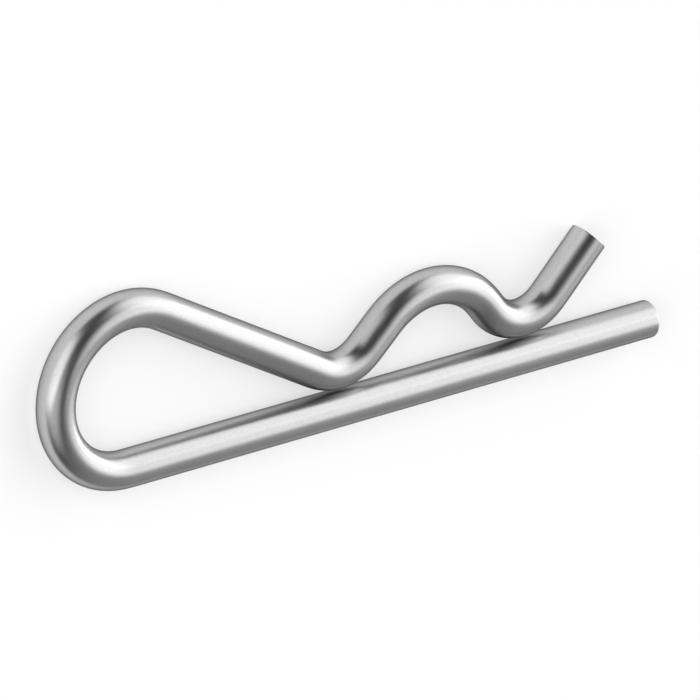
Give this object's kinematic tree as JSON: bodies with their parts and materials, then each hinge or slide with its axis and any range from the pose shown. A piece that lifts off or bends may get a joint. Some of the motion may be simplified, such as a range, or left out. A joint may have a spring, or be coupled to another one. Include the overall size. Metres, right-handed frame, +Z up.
{
  "type": "hitch r clip pin",
  "caption": "Spring wire R clip whose straight leg goes through a hitch pin's cross hole and whose humped arm snaps over the pin.",
  "frame": {"origin": "under the middle of the clip lying flat on its side, at the height of its lowest point", "axes": "+X along the straight leg towards its cut end, +Y from the leg towards the sprung arm in the plane of the bends, +Z up out of that plane"},
  "size_m": [0.0778, 0.021, 0.004],
  "materials": {
    "spring_wire": "satin drawn wire"
  },
  "bodies": {
    "root": {"clip": "spring_wire"}
  },
  "joints": []
}
